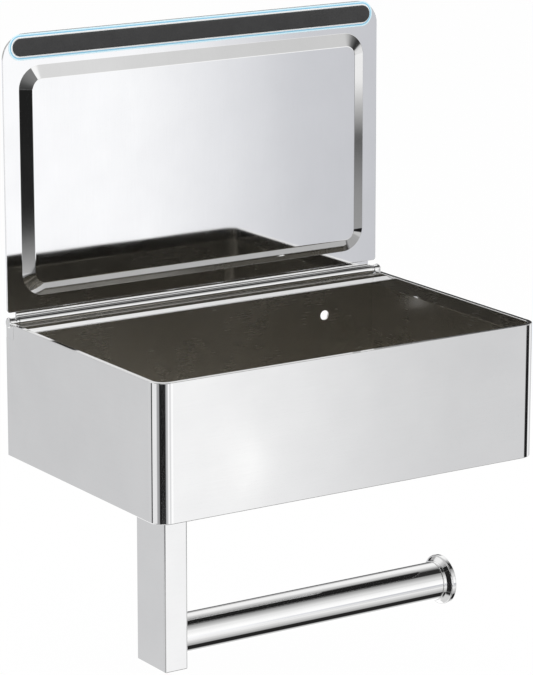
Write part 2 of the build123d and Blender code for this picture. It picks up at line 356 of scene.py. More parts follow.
class Sketch:
    """A short way to write a node tree: each call adds one node and links or sets its inputs."""

    usual_noise: Pair = (0.3, 0.7)

    def __init__(self, tree: bpy.types.NodeTree) -> None:
        """Start on an empty tree."""
        self.tree = tree
        self.tree.nodes.clear()

    def add(
        self, kind: str, inputs: Mapping[str | int, Any] | None = None, **settings: Any
    ) -> bpy.types.Node:
        """Add one node.

        Args:
            kind: The node's type, without the words ShaderNode.
            inputs: For each input, by name or number, a value or the socket that feeds it.
            **settings: The node's own settings.

        Returns:
            The new node.
        """
        node = self.tree.nodes.new("ShaderNode" + kind)
        for setting, value in settings.items():
            setattr(node, setting, value)
        for key, value in (inputs or {}).items():
            if isinstance(value, bpy.types.NodeSocket):
                self.tree.links.new(value, node.inputs[key])
            else:
                node.inputs[key].default_value = value
        return node

    def place(self) -> bpy.types.NodeSocket:
        """Give the place on a piece, in metres."""
        return self.add("TexCoord").outputs["Object"]

    def math(self, operation: str, *values: Any) -> bpy.types.NodeSocket:
        """Add one Math node on these values and give its result."""
        return self.add("Math", dict(enumerate(values)), operation=operation).outputs[0]

    def mix(self, share: Any, first: Any, second: Any) -> bpy.types.NodeSocket:
        """Blend two colours, each three numbers or a socket, and give the result."""
        ends = [(*end, 1.0) if isinstance(end, tuple) else end for end in (first, second)]
        return self.add("Mix", {0: share, 6: ends[0], 7: ends[1]}, data_type="RGBA").outputs[2]

    def spread(self, value: Any, low: float, high: float) -> bpy.types.NodeSocket:
        """Spread a noise's usual middle range over other values.

        Args:
            value: The noise.
            low: What its lowest usual value becomes.
            high: What its highest usual value becomes.

        Returns:
            The spread value.
        """
        least, most = self.usual_noise
        ends = {"Value": value, "From Min": least, "From Max": most, "To Min": low, "To Max": high}
        return self.add("MapRange", ends).outputs[0]

    def noise(self, place: Any, scale: float, detail: float) -> bpy.types.NodeSocket:
        """Add a noise of that scale per metre and give its strength."""
        return self.add("TexNoise", {"Vector": place, "Scale": scale, "Detail": detail}).outputs[0]

    def bump(self, height: Any, distance: float, strength: float) -> bpy.types.NodeSocket:
        """Dent the surface by a height and give the dented normal."""
        inputs = {"Height": height, "Distance": distance, "Strength": strength}
        return self.add("Bump", inputs).outputs[0]

    def ramp(self, value: Any, stops: Sequence[tuple[float, Sequence[float]]]) -> bpy.types.NodeSocket:
        """Add a colour ramp.

        Args:
            value: Place on the ramp, from 0 to 1.
            stops: Place and colour of each stop, in order.

        Returns:
            The ramp's colour.
        """
        node = self.add("ValToRGB", {0: value})
        elements = node.color_ramp.elements
        for _ in range(len(stops) - 2):
            elements.new(0.5)
        for element, (place, colour) in zip(elements, stops):
            element.position = place
            element.color = (*colour, 1.0)
        return node.outputs[0]


@dataclass(frozen=True)
class Look:
    """What one finish feeds into its shader: three sockets, and the shader's other inputs by name."""

    colour: bpy.types.NodeSocket
    roughness: bpy.types.NodeSocket
    normal: bpy.types.NodeSocket
    others: Mapping[str, Any]


def new_material(name: str) -> tuple[bpy.types.Material, Sketch]:
    """Add an empty material.

    Args:
        name: Name of the material.

    Returns:
        The material and the sketch of its nodes.
    """
    material = bpy.data.materials.new(name)
    material.use_nodes = True
    return material, Sketch(material.node_tree)


@dataclass(frozen=True)
class Finish:
    """A named finish. Each kind of finish gives its own look."""

    name: str

    def look(self, sketch: Sketch) -> Look:
        """Add this finish's nodes and give what they feed."""
        raise NotImplementedError

    def material(self) -> bpy.types.Material:
        """Feed the look into a Principled shader.

        Returns:
            The new material.
        """
        material, sketch = new_material(self.name)
        look = self.look(sketch)
        inputs = {"Base Color": look.colour, "Roughness": look.roughness, "Normal": look.normal}
        shader = sketch.add("BsdfPrincipled", {**inputs, **look.others})
        sketch.add("OutputMaterial", {"Surface": shader.outputs[0]})
        return material


@dataclass(frozen=True)
class Steel(Finish):
    """Sheet or turned steel: clouded polish, fine drawn lines along the sheet and a faint waviness."""

    bright: Triple
    dull: Triple
    roughness: float
    haze: float
    line_scale: Triple
    line_share: float
    wave_height: float
    cloud_scale: float = 45.0
    cloud_detail: float = 5.0
    line_detail: float = 3.0
    wave_scale: float = 16.0
    wave_detail: float = 1.0

    def look(self, sketch: Sketch) -> Look:
        """Add the nodes: clouds and drawn lines set tone and haze, and waves bend the surface.

        Args:
            sketch: The material's nodes.

        Returns:
            What they feed.
        """
        place = sketch.place()
        cloud = sketch.noise(place, self.cloud_scale, self.cloud_detail)
        drawn = sketch.add("Mapping", {"Vector": place, "Scale": self.line_scale}).outputs[0]
        lines = sketch.noise(drawn, 1.0, self.line_detail)
        worn = sketch.math("MULTIPLY_ADD", lines, self.line_share, cloud)
        level = sketch.math("DIVIDE", worn, 1.0 + self.line_share)
        colour = sketch.mix(sketch.spread(level, 0.0, 1.0), self.bright, self.dull)
        roughness = sketch.spread(level, self.roughness, self.roughness + self.haze)
        wave = sketch.noise(place, self.wave_scale, self.wave_detail)
        normal = sketch.bump(wave, self.wave_height, 1.0)
        return Look(colour, roughness, normal, {"Metallic": 1.0})


@dataclass(frozen=True)
class LinedSteel(Finish):
    """A sheet with one finish outside and another inside the box.

    The inside is where the place is above the lower limits and below the upper ones.
    """

    outside: Steel
    inside: Steel
    above: Triple
    below: Triple

    def look(self, sketch: Sketch) -> Look:
        """Add the nodes: both looks, shared out by the place on the sheet.

        Args:
            sketch: The material's nodes.

        Returns:
            What they feed.
        """
        axes = sketch.add("SeparateXYZ", {0: sketch.place()}).outputs
        tests = [sketch.math("GREATER_THAN", axis, limit) for axis, limit in zip(axes, self.above)]
        tests += [sketch.math("LESS_THAN", axis, limit) for axis, limit in zip(axes, self.below)]
        share = tests[0]
        for test in tests[1:]:
            share = sketch.math("MULTIPLY", share, test)
        outside, inside = self.outside.look(sketch), self.inside.look(sketch)
        colour = sketch.mix(share, outside.colour, inside.colour)
        ends = {0: share, 2: outside.roughness, 3: inside.roughness}
        rough = sketch.add("Mix", ends, data_type="FLOAT").outputs[0]
        return Look(colour, rough, outside.normal, outside.others)


@dataclass(frozen=True)
class Foam(Finish):
    """Matt closed-cell foam: small cells that dent the surface and vary in tone."""

    tone: Triple
    pore: Triple
    cell_scale: float
    cell_height: float
    cells_in_cloud: float = 12.0
    cloud_detail: float = 4.0
    roughness: Pair = (0.82, 0.95)
    dent: float = 0.6
    sheen: float = 0.1

    def look(self, sketch: Sketch) -> Look:
        """Add the nodes: cells dent the surface, and cells and clouds set the tone.

        Args:
            sketch: The material's nodes.

        Returns:
            What they feed.
        """
        place = sketch.place()
        cells = sketch.add("TexVoronoi", {"Vector": place, "Scale": self.cell_scale}).outputs[0]
        cloud = sketch.noise(place, self.cell_scale / self.cells_in_cloud, self.cloud_detail)
        share = sketch.math("MULTIPLY", cells, cloud)
        colour = sketch.mix(share, self.tone, self.pore)
        rough = sketch.spread(cloud, *self.roughness)
        normal = sketch.bump(cells, self.cell_height, self.dent)
        return Look(colour, rough, normal, {"Sheen Weight": self.sheen})


@dataclass(frozen=True)
class Film(Finish):
    """Tinted adhesive film: pale at its cut edge, blue along its border and whitish at the foam, and
    glowing faintly by its own emission, a painted glow since the film is no lamp.
    """

    pale: Triple
    blue: Triple
    whitish: Triple
    border: float
    # Strength of the painted glow: the film emits its own tint though it is no lamp.
    glow: float
    places: Stretch = (0.28, 0.35, 0.58, 0.66)
    cloud_scale: float = 300.0
    cloud_detail: float = 3.0
    cloud_share: float = 0.12
    roughness: Pair = (0.22, 0.36)
    dent: float = 0.4
    dent_height: float = 0.00002
    gloss: float = 0.3

    def look(self, sketch: Sketch) -> Look:
        """Add the nodes: the film's own attribute, the depth in from its cut edge, sets the tint, which
        the film also emits as a painted glow.

        Args:
            sketch: The material's nodes.

        Returns:
            What they feed.
        """
        place = sketch.place()
        inset = sketch.add("Attribute", attribute_name="inset").outputs["Fac"]
        share = sketch.math("DIVIDE", inset, self.border)
        tones = (self.pale, self.blue, self.blue, self.whitish)
        tint = sketch.ramp(share, list(zip(self.places, tones)))
        cloud = sketch.noise(place, self.cloud_scale, self.cloud_detail)
        colour = sketch.mix(sketch.spread(cloud, 0.0, self.cloud_share), tint, self.pale)
        rough = sketch.spread(cloud, *self.roughness)
        normal = sketch.bump(cloud, self.dent_height, self.dent)
        # Painted glow: the tint is emitted, so the film shines brighter than its light allows.
        glow = {"Emission Color": colour, "Emission Strength": self.glow}
        return Look(colour, rough, normal, {"Coat Weight": self.gloss, **glow})


@dataclass(frozen=True)
class Moulded(Finish):
    """Moulded plastic with a fine spark-eroded grain."""

    tone: Triple
    worn: Triple
    grain_scale: float = 1800.0
    grain_detail: float = 2.0
    grain_height: float = 0.00004
    dent: float = 0.5
    cloud_scale: float = 120.0
    cloud_detail: float = 4.0
    roughness: Pair = (0.45, 0.6)

    def look(self, sketch: Sketch) -> Look:
        """Add the nodes: grain dents the surface, and clouds set the tone.

        Args:
            sketch: The material's nodes.

        Returns:
            What they feed.
        """
        place = sketch.place()
        grain = sketch.noise(place, self.grain_scale, self.grain_detail)
        cloud = sketch.noise(place, self.cloud_scale, self.cloud_detail)
        colour = sketch.mix(sketch.spread(cloud, 0.0, 1.0), self.tone, self.worn)
        rough = sketch.spread(grain, *self.roughness)
        normal = sketch.bump(grain, self.grain_height, self.dent)
        return Look(colour, rough, normal, {})


MIRROR = Steel(
    name="mirror_polish",
    bright=(0.84, 0.84, 0.838),
    dull=(0.8, 0.8, 0.8),
    roughness=0.035,
    haze=0.03,
    line_scale=(60.0, 60.0, 2600.0),
    line_share=0.35,
    wave_height=0.00006,
)
LID_MIRROR = replace(
    MIRROR,
    name="lid_polish",
    roughness=0.025,
    haze=0.025,
    line_scale=(2600.0, 60.0, 60.0),
)
# Painted shade: a darker copy of the lid's polish, laid on the dish's bevel.
DARKENED_BEVEL_POLISH = replace(
    LID_MIRROR,
    name="bevel_polish_painted_shade",
    bright=(0.69, 0.69, 0.69),
    dull=(0.65, 0.65, 0.65),
)
# Painted highlight: a brighter copy of the mirror polish, so the cross strip shows as a white line.
BRIGHTENED_STRIP_MIRROR = replace(
    MIRROR,
    name="strip_polish_painted_highlight",
    bright=(0.97, 0.97, 0.97),
    dull=(0.94, 0.94, 0.94),
    line_scale=(60.0, 2600.0, 60.0),
    wave_height=0.00002,
)
BAR_MIRROR = replace(MIRROR, name="bar_polish", line_scale=(60.0, 2600.0, 2600.0), wave_height=0.00002)
# Inside of the box: the rougher, duller finish is real, but its lowered, warm-tinted colour is painted
# shade and a painted warm reflection in the box's hollow.
MILL_WITH_PAINTED_SHADE = Steel(
    name="mill_finish_painted_shade",
    bright=(0.65, 0.63, 0.585),
    dull=(0.56, 0.54, 0.5),
    roughness=0.2,
    haze=0.1,
    line_scale=(90.0, 90.0, 3000.0),
    line_share=0.6,
    wave_height=0.00008,
)
TURNED = Steel(
    name="turned_steel",
    bright=(0.63, 0.63, 0.62),
    dull=(0.52, 0.52, 0.515),
    roughness=0.26,
    haze=0.14,
    line_scale=(2400.0, 2400.0, 300.0),
    line_share=0.8,
    wave_height=0.00002,
    cloud_scale=260.0,
)
STRIP_FOAM = Foam(
    name="strip_foam",
    tone=(0.05, 0.05, 0.051),
    pore=(0.03, 0.03, 0.031),
    cell_scale=1500.0,
    cell_height=0.00012,
)
STRIP_FILM = Film(
    name="strip_film",
    pale=(0.62, 0.83, 0.92),
    blue=(0.21, 0.53, 0.73),
    whitish=(0.95, 0.96, 0.96),
    border=0.002,
    # Painted glow: the film emits its own tint at this strength.
    glow=0.2,
)
PLUG_PLASTIC = Moulded(name="plug_plastic", tone=(0.32, 0.32, 0.33), worn=(0.27, 0.27, 0.28))


class Workshop:
    """Makes each finish once, adds pieces and dresses CAD nodes with them."""

    def __init__(self) -> None:
        """Start with no materials made."""
        self.made: dict[str, bpy.types.Material] = {}

    def material(self, finish: Finish) -> bpy.types.Material:
        """Give a finish's material, made the first time it is asked for.

        Args:
            finish: The finish.

        Returns:
            Its one material.
        """
        if finish.name not in self.made:
            self.made[finish.name] = finish.material()
        return self.made[finish.name]

    def piece(
        self, mesh: bpy.types.Mesh, finishes: Sequence[Finish], body: Body, slot: Slot, *nodes: str
    ) -> bpy.types.Object:
        """Add a piece in place of CAD nodes.

        Args:
            mesh: The piece's mesh, whose name the piece takes.
            finishes: Its finishes, in the order of its material numbers.
            body: The body that it rides on.
            slot: The record's slot; not used.
            *nodes: The CAD nodes that it stands for.

        Returns:
            The piece.
        """
        for finish in finishes:
            mesh.materials.append(self.material(finish))
        piece = bpy.data.objects.new(mesh.name, mesh)
        bpy.context.scene.collection.objects.link(piece)
        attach(piece, body.value)
        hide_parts(*nodes)
        LOG.info("piece %s on %s: %d faces", piece.name, body.value, len(mesh.polygons))
        return piece

    def dress(self, finish: Finish, *nodes: str) -> None:
        """Give CAD nodes a finish in their objects' own material slots.

        Args:
            finish: The finish.
            *nodes: Names of the nodes.
        """
        for node in nodes:
            for slot in frame["nodes"][node].material_slots:
                slot.link = "OBJECT"
                slot.material = self.material(finish)
            LOG.info("node %s: %s", node, finish.name)


@dataclass
class BoxAssembly:
    """The box: front and sides folded from one sheet with a hemmed rim, floor, back and cross strip."""

    sheet: float = 0.0012
    front_corner: float = 0.008
    hem_height: float = 0.007
    rim_flat: float = 0.0018
    strip_fall: float = 0.0005
    strip_nose: float = 0.0003
    foot_edge: float = 0.0005
    cut_edge: float = 0.0002
    fold_edge: float = 0.0004
    ear_seam: float = 0.0001
    inner_share: float = 0.9
    corner_steps: int = 28
    edge_steps: int = 7

    def section(self, floor: float, rim: float) -> Outline:
        """Draw the wall's section, from its lower outer edge round the inside to the rim.

        Args:
            floor: Height of the lower edge.
            rim: Height of the hemmed rim.

        Returns:
            The closed section, depth inwards and height.
        """
        hem = 2 * self.sheet
        fold = rim - self.hem_height
        rim_round = (hem - self.rim_flat) / 2
        lower = [(0, floor), (self.sheet, floor), (self.sheet, fold)]
        corners = [*lower, (hem, fold), (hem, rim), (0, rim)]
        radii = [self.foot_edge, self.cut_edge, self.cut_edge, self.fold_edge, rim_round, rim_round]
        return rounded(corners, radii, self.edge_steps)

    def inner_rows(self, section: Outline, fold: float) -> np.ndarray:
        """Find the rows of a section that face the inside of the box below the hem.

        Args:
            section: The wall's section.
            fold: Height of the hem's lower edge.

        Returns:
            One material number for each row.
        """
        middle = (section.points + np.roll(section.points, -1, axis=0)) / 2
        inner = (middle[:, 0] > self.inner_share * self.sheet) & (middle[:, 1] < fold + self.fold_edge)
        return np.where(inner, Coat.OTHER.value, Coat.MAIN.value)

    def cross_strip(self) -> Grid:
        """Carry the strip's section from hem to hem, its top falling to a rounded front edge.

        Returns:
            The strip.
        """
        low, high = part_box("rear_strip")
        front, under = low[1:]
        back, top = high[1:]
        corners = [(front, under), (back, under), (back, top), (front, top - self.strip_fall)]
        radii = [self.strip_nose, self.cut_edge / 2, self.cut_edge / 2, self.strip_nose]
        return carry(straight(low[0], high[0]), rounded(corners, radii, self.edge_steps))

    def build(self, shop: Workshop) -> None:
        """Carry the wall's section round the box's plan, and the lower wall on to the back.

        Args:
            shop: Where pieces and finishes are made.
        """
        low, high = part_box("box_shell")
        floor, rim, fold = low[2], high[2], high[2] - self.hem_height
        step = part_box("hinge_ear_left")[0][1] - self.ear_seam
        plan = [(low[0], step), (low[0], low[1]), (high[0], low[1]), (high[0], step)]
        path = rounded(plan, [self.front_corner] * 2, self.corner_steps, closed=False)
        wall = self.section(floor, rim)
        corners = [(0, floor), (self.sheet, floor), (self.sheet, fold), (0, fold)]
        stub = rounded(corners, [self.foot_edge] + [self.cut_edge / 2] * 3, self.edge_steps)
        left_run = np.array([[low[0], high[1]], [low[0], step]])
        right_run = np.array([[high[0], step], [high[0], high[1]]])
        left = Outline(left_run, path.normals[:1].repeat(2, 0), False)
        right = Outline(right_run, path.normals[-1:].repeat(2, 0), False)
        grids = [carry(path, wall), carry(left, stub), carry(right, stub)]
        rows = [self.inner_rows(wall, fold)] + [self.inner_rows(stub, fold)] * 2
        mesh = mesh_of("box_wall", grids, rows)
        shop.piece(mesh, [MIRROR, MILL_WITH_PAINTED_SHADE], Body.BOX, Slot.POLISHED, "box_shell")
        strip = mesh_of("cross_strip", [self.cross_strip()])
        # The cross strip takes the brightened polish, a painted highlight.
        shop.piece(strip, [BRIGHTENED_STRIP_MIRROR], Body.BOX, Slot.POLISHED, "rear_strip")

    def dress(self, shop: Workshop) -> None:
        """Finish the floor and the back panel, with a mill finish inside the box whose darker, warm
        colour is painted shade.

        Args:
            shop: Where pieces and finishes are made.
        """
        far = 1.0
        floor_middle = sum(corner[2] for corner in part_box("box_floor")) / 2
        floor = LinedSteel("floor_sheet", MIRROR, MILL_WITH_PAINTED_SHADE, (-far, -far, floor_middle), (far, far, far))
        shop.dress(floor, "box_floor")
        back = LinedSteel("back_sheet", MIRROR, MILL_WITH_PAINTED_SHADE, (-far, -far, -far), (far, -self.sheet / 2, far))
        shop.dress(back, "back_panel")


@dataclass
class LidAssembly:
    """The lid: a dished sheet curled round the hinge pin, with a foam strip on a film at its front."""

    lean_deg: float = 0.3
    sheet: float = 0.001
    corner: float = 0.012
    notch: float = 0.0042
    notch_corner: float = 0.0015
    edge_round: float = 0.0003
    dish_side: float = 0.0083
    dish_hinge: float = 0.0109
    dish_front: float = 0.0153
    dish_corner: float = 0.0115
    dish_bevel: float = 0.0062
    dish_depth: float = 0.002
    dish_round: float = 0.0016
    dish_foot: float = 0.0005
    bore: float = 0.003
    curl_slit: float = 0.0004
    barrel_room: float = 0.002
    film_edge: float = 0.0002
    film_side: float = 0.0033
    film_border: float = 0.002
    film_thickness: float = 0.0002
    pad_thickness: float = 0.0016
    pad_width: float = 0.0083
    pad_squareness: float = 5.0
    pad_top_angle: float = 0.46
    pad_foot_share: float = 0.6
    pad_steps: int = 40
    film_run_share: float = 1.2
    end_round_share: float = 0.49
    flat_run: float = 0.0008
    corner_steps: int = 24
    edge_steps: int = 6
    curl_steps: int = 72

    def __post_init__(self) -> None:
        """Find the hinge, the lid's own axes and its reach from the frame."""
        lean = math.radians(self.lean_deg)
        low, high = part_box("lid_panel")
        self.hinge = np.array(frame["joints"][0]["pos_m"], dtype=float)
        along, up = (1.0, 0.0, 0.0), (0.0, math.sin(lean), math.cos(lean))
        self.axes = np.column_stack([along, up, np.cross(along, up)])
        self.outer = -(self.bore / 2 + self.sheet)
        self.inner = self.outer + self.sheet
        self.reach = (high[2] - self.hinge[2] - self.inner * math.sin(lean)) / math.cos(lean)
        self.half = (high[0] - low[0]) / 2
        self.barrel_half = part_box("hinge_ear_right")[0][0] - self.barrel_room
        self.film_width = self.pad_width + 2 * self.film_border
        self.film_centre = self.reach - self.film_edge - self.film_width / 2
        self.film_half = self.half - self.film_side

    def dish_section(self, face: float) -> Outline:
        """Draw the dish's section on one face of the sheet, from its floor out to the flat border.

        Args:
            face: Height of that face at the border.

        Returns:
            The open section, depth in from the dish's outer edge and height.
        """
        raised = face + self.dish_depth
        corners = [
            (self.dish_bevel + self.flat_run, raised),
            (self.dish_bevel, raised),
            (0.0, face),
            (-self.flat_run, face),
        ]
        return rounded(corners, [self.dish_round, self.dish_foot], self.edge_steps, closed=False)

    def plate(self) -> Grid:
        """Work out the plate: the dish, the cut edge and the dish's back, each section on its loop.

        Returns:
            The plate in the lid's own axes.
        """
        low, high = (-self.half, self.notch), (self.half, self.reach)
        radii = [self.notch_corner, self.notch_corner, self.corner, self.corner]
        rim = rectangle(low, high, radii, self.corner_steps)
        dish_low = (self.dish_side - self.half, self.dish_hinge)
        dish_high = (self.half - self.dish_side, self.reach - self.dish_front)
        dish = rectangle(dish_low, dish_high, [self.dish_corner] * 4, self.corner_steps)
        run = self.flat_run
        cut = [(run, self.inner), (0, self.inner), (0, self.outer), (run, self.outer)]
        edge = rounded(cut, [self.edge_round] * 2, self.edge_steps, closed=False)
        front = self.dish_section(self.inner)
        back = self.dish_section(self.outer)
        behind = Outline(back.points[::-1], -back.normals[::-1], False)
        return carry(dish, front).beside(carry(rim, edge)).beside(carry(dish, behind))

    def plate_rows(self, plate: Grid) -> np.ndarray:
        """Find the plate's rows on the dish's bevel, on both faces, which take the darker copy of the
        polish, painted shade.

        Args:
            plate: The plate.

        Returns:
            One material number for each row.
        """
        depth = self.dish_section(self.inner).points[:, 0]
        middle = (depth[:-1] + depth[1:]) / 2
        bevel = np.where((middle > 0) & (middle < self.dish_bevel), Coat.OTHER.value, Coat.MAIN.value)
        rows = np.full(len(plate.inset) - 1, Coat.MAIN.value)
        rows[: len(bevel)] = bevel
        rows[-len(bevel):] = bevel[::-1]
        return rows

    def curl(self) -> Grid:
        """Work out the barrel: the sheet's end curled round the pin, outside and inside as two arcs.

        The slit's edge lies at one height over the sheet, so each arc ends at the angle whose sine is
        that height over its radius, a full turn on from the sheet.

        Returns:
            The barrel in the lid's own axes.
        """
        slit = self.inner + self.curl_slit
        quarter, full = -math.pi / 2, 2 * math.pi
        outside, inside = -self.outer, -self.inner
        out_angle = np.linspace(math.asin(slit / outside) - full, quarter, self.curl_steps)
        in_angle = np.linspace(quarter, math.asin(slit / inside) - full, self.curl_steps)
        out_normal = np.stack([np.cos(out_angle), np.sin(out_angle)], axis=-1)
        in_normal = -np.stack([np.cos(in_angle), np.sin(in_angle)], axis=-1)
        tongue = np.array([[self.notch, self.outer], [self.notch, self.inner]])
        faces = np.array([[0.0, -1.0], [0.0, 1.0]])
        points = np.concatenate([outside * out_normal, tongue, -inside * in_normal])
        section = Outline(points, np.concatenate([out_normal, faces, in_normal]), True)
        return carry(straight(-self.barrel_half, self.barrel_half), section)

    def strip_path(self, half_length: float, width: float) -> Outline:
        """Draw a strip with round ends across the lid's free edge.

        Args:
            half_length: Half of its length.
            width: Its width.

        Returns:
            The closed outline.
        """
        low = (-half_length, self.film_centre - width / 2)
        high = (half_length, self.film_centre + width / 2)
        return rectangle(low, high, [self.end_round_share * width] * 4, self.corner_steps)

    def film(self) -> Grid:
        """Work out the film: a thin strip with softly rounded cut edges.

        Returns:
            The film in the lid's own axes.
        """
        top = self.inner + self.film_thickness
        edge = self.film_thickness / 3
        run = self.film_run_share * self.film_border
        corners = [(run, top), (0, top), (0, self.inner), (run, self.inner)]
        section = rounded(corners, [edge, edge], self.edge_steps, closed=False)
        return carry(self.strip_path(self.film_half, self.film_width), section)

    def pad(self) -> Grid:
        """Work out the foam strip, crowned and rounded at its shoulders.

        Its section is a quarter of a superellipse: with n the squareness and a from 0 to about a right
        angle, the depth is half the width times 1 less cos a to the power 2 / n, and the height is the
        thickness times sin a to that power. The flat foot closes it.

        Returns:
            The foam strip in the lid's own axes.
        """
        half = self.pad_width / 2
        power = 2 / self.pad_squareness
        angle = np.linspace(self.pad_top_angle * math.pi, 0.0, self.pad_steps)
        across = np.cos(angle) ** power
        above = np.sin(angle) ** power
        foot = self.inner + self.film_thickness
        points = np.stack([half * (1 - across), foot + self.pad_thickness * above], axis=-1)
        steep = self.pad_squareness - 1
        lean = -(across ** steep) / half
        rise = above ** steep / self.pad_thickness
        normals = unit(np.stack([lean, rise], axis=-1))
        under = np.array([[self.pad_foot_share * half, foot]])
        section = Outline(
            np.concatenate([points, under]), np.concatenate([normals, [[0.0, -1.0]]]), False
        )
        return carry(self.strip_path(self.film_half - self.film_border, self.pad_width), section)

    def build(self, shop: Workshop) -> None:
        """Add the plate with its barrel, the film and the foam strip.

        Args:
            shop: Where pieces and finishes are made.
        """
        plate = self.plate().placed(self.axes, self.hinge)
        curl = self.curl().placed(self.axes, self.hinge)
        rows = [self.plate_rows(plate), np.full(len(curl.inset), Coat.MAIN.value)]
        lid = mesh_of("lid_sheet", [plate, curl], rows)
        shop.piece(lid, [LID_MIRROR, DARKENED_BEVEL_POLISH], Body.LID, Slot.POLISHED, "lid_panel")
        film = mesh_of("pad_backing", [self.film().placed(self.axes, self.hinge)])
        shop.piece(film, [STRIP_FILM], Body.LID, Slot.FILM, "pad_film")
        pad = mesh_of("foam_strip", [self.pad().placed(self.axes, self.hinge)])
        shop.piece(pad, [STRIP_FOAM], Body.LID, Slot.FOAM, "silencer_pad")


@dataclass
class HingeAssembly:
    """The hinge: a pin with domed heads through two ears, and a washer at each end of the barrel."""

    pin_radius: float = 0.00145
    head_height: float = 0.001
    head_round: float = 0.0007
    head_flat_share: float = 0.3
    edge: float = 0.0001
    turn_steps: int = 48
    edge_steps: int = 6

    def build(self, shop: Workshop) -> None:
        """Turn the pin: from one head's end face, along the shank, to the other head's.

        Args:
            shop: Where pieces and finishes are made.
        """
        low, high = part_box("hinge_pin")
        middle = [(a + b) / 2 for a, b in zip(low, high)]
        head = (high[2] - low[2]) / 2
        flat = self.head_flat_share * head
        left, right = low[0] + self.head_height, high[0] - self.head_height
        corners = [
            (-flat, high[0]),
            (-head, high[0]),
            (-head, right),
            (-self.pin_radius, right),
            (-self.pin_radius, left),
            (-head, left),
            (-head, low[0]),
            (-flat, low[0]),
        ]
        radii = [self.head_round, *[self.edge] * 4, self.head_round]
        section = rounded(corners, radii, self.edge_steps, closed=False)
        pin = turned(section, middle, self.turn_steps)
        shop.piece(mesh_of("pin_with_heads", [pin]), [BAR_MIRROR], Body.BOX, Slot.POLISHED, "hinge_pin")

    def dress(self, shop: Workshop) -> None:
        """Finish the ears and the washers."""
        shop.dress(MIRROR, "hinge_ear_left", "hinge_ear_right")
        shop.dress(BAR_MIRROR, "hinge_washers")


@dataclass
class ArmAssembly:
    """The arm: a tube post under the box, and the roll bar with its flanged end cap."""

    post_wall: float = 0.0015
    post_edge: float = 0.001
    post_end_break: float = 0.0006
    bar_wall: float = 0.0012
    bar_edge: float = 0.0003
    collar_step: float = 0.00045
    collar_length: float = 0.0015
    flare_length: float = 0.0017
    flange_land: float = 0.0007
    flange_round: float = 0.0006
    spigot_radius: float = 0.003
    face_flat_share: float = 0.5
    cut_edge: float = 0.0001
    corner_steps: int = 10
    edge_steps: int = 6
    turn_steps: int = 128

    def post(self) -> Grid:
        """Work out the post: its outside on one loop, its bore on another, joined at both ends.

        Returns:
            The post.
        """
        low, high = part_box("arm_post")
        outside = rectangle(low[:2], high[:2], [self.post_edge] * 4, self.corner_steps)
        bore_low = (low[0] + self.post_wall, low[1] + self.post_wall)
        bore_high = (high[0] - self.post_wall, high[1] - self.post_wall)
        bore = rectangle(bore_low, bore_high, [self.cut_edge] * 4, self.corner_steps)
        run = self.post_edge / 2
        skin = [(run, high[2]), (0, high[2]), (0, low[2]), (run, low[2])]
        lining = [(-run, low[2]), (0, low[2]), (0, high[2]), (-run, high[2])]
        skin_radii = [self.cut_edge, self.post_end_break]
        skin_line = rounded(skin, skin_radii, self.edge_steps, closed=False)
        lining_line = rounded(lining, [self.cut_edge] * 2, self.edge_steps, closed=False)
        return carry(outside, skin_line).beside(carry(bore, lining_line), closed=True)

    def bar(self) -> Grid:
        """Turn the bar: a tube with softened ends.

        Returns:
            The bar.
        """
        low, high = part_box("roll_bar")
        radius = (high[2] - low[2]) / 2
        bore = radius - self.bar_wall
        corners = [(-radius, low[0]), (-bore, low[0]), (-bore, high[0]), (-radius, high[0])]
        radii = [self.cut_edge, self.cut_edge, self.cut_edge, self.bar_edge]
        section = rounded(corners, radii, self.edge_steps)
        return turned(section, self.bar_middle(), self.turn_steps)

    def cap(self) -> Grid:
        """Turn the cap: flange, cone and collar, and the spigot inside the bar.

        Returns:
            The cap.
        """
        low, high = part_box("bar_end_cap")
        bar_low, bar_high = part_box("roll_bar")
        flange = (high[2] - low[2]) / 2
        collar = (bar_high[2] - bar_low[2]) / 2 + self.collar_step
        start = bar_high[0]
        collar_end = start + self.collar_length
        flare_end = collar_end + self.flare_length
        corners = [
            (-self.face_flat_share * flange, high[0]),
            (-flange, high[0]),
            (-flange, flare_end),
            (self.flange_land - flange, flare_end),
            (-collar, collar_end),
            (-collar, start),
            (-self.spigot_radius, start),
            (-self.spigot_radius, low[0]),
            (-self.face_flat_share * self.spigot_radius, low[0]),
        ]
        fine = self.cut_edge
        radii = [self.flange_round, self.flange_round, fine, 2 * fine, 2 * fine, fine, 2 * fine]
        section = rounded(corners, radii, self.edge_steps, closed=False)
        return turned(section, self.bar_middle(), self.turn_steps)

    @staticmethod
    def bar_middle() -> list[float]:
        """Give the middle of the bar."""
        return [(a + b) / 2 for a, b in zip(*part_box("roll_bar"))]

    def build(self, shop: Workshop) -> None:
        """Add the post, the bar and the cap.

        Args:
            shop: Where pieces and finishes are made.
        """
        pieces = (
            ("post_tube", self.post(), MIRROR, "arm_post"),
            ("bar_tube", self.bar(), BAR_MIRROR, "roll_bar"),
            ("flanged_cap", self.cap(), BAR_MIRROR, "bar_end_cap"),
        )
        for name, grid, finish, node in pieces:
            shop.piece(mesh_of(name, [grid]), [finish], Body.BOX, Slot.POLISHED, node)

    def dress(self, shop: Workshop) -> None:
        """Finish the fasteners and plugs.

        Args:
            shop: Where pieces and finishes are made.
        """
        shop.dress(TURNED, "post_mount_block", "post_screws", "post_washers")
        shop.dress(TURNED, "bar_root_plug", "bar_washer", "bar_bolt", "bar_end_insert")
        shop.dress(PLUG_PLASTIC, "post_end_plug")


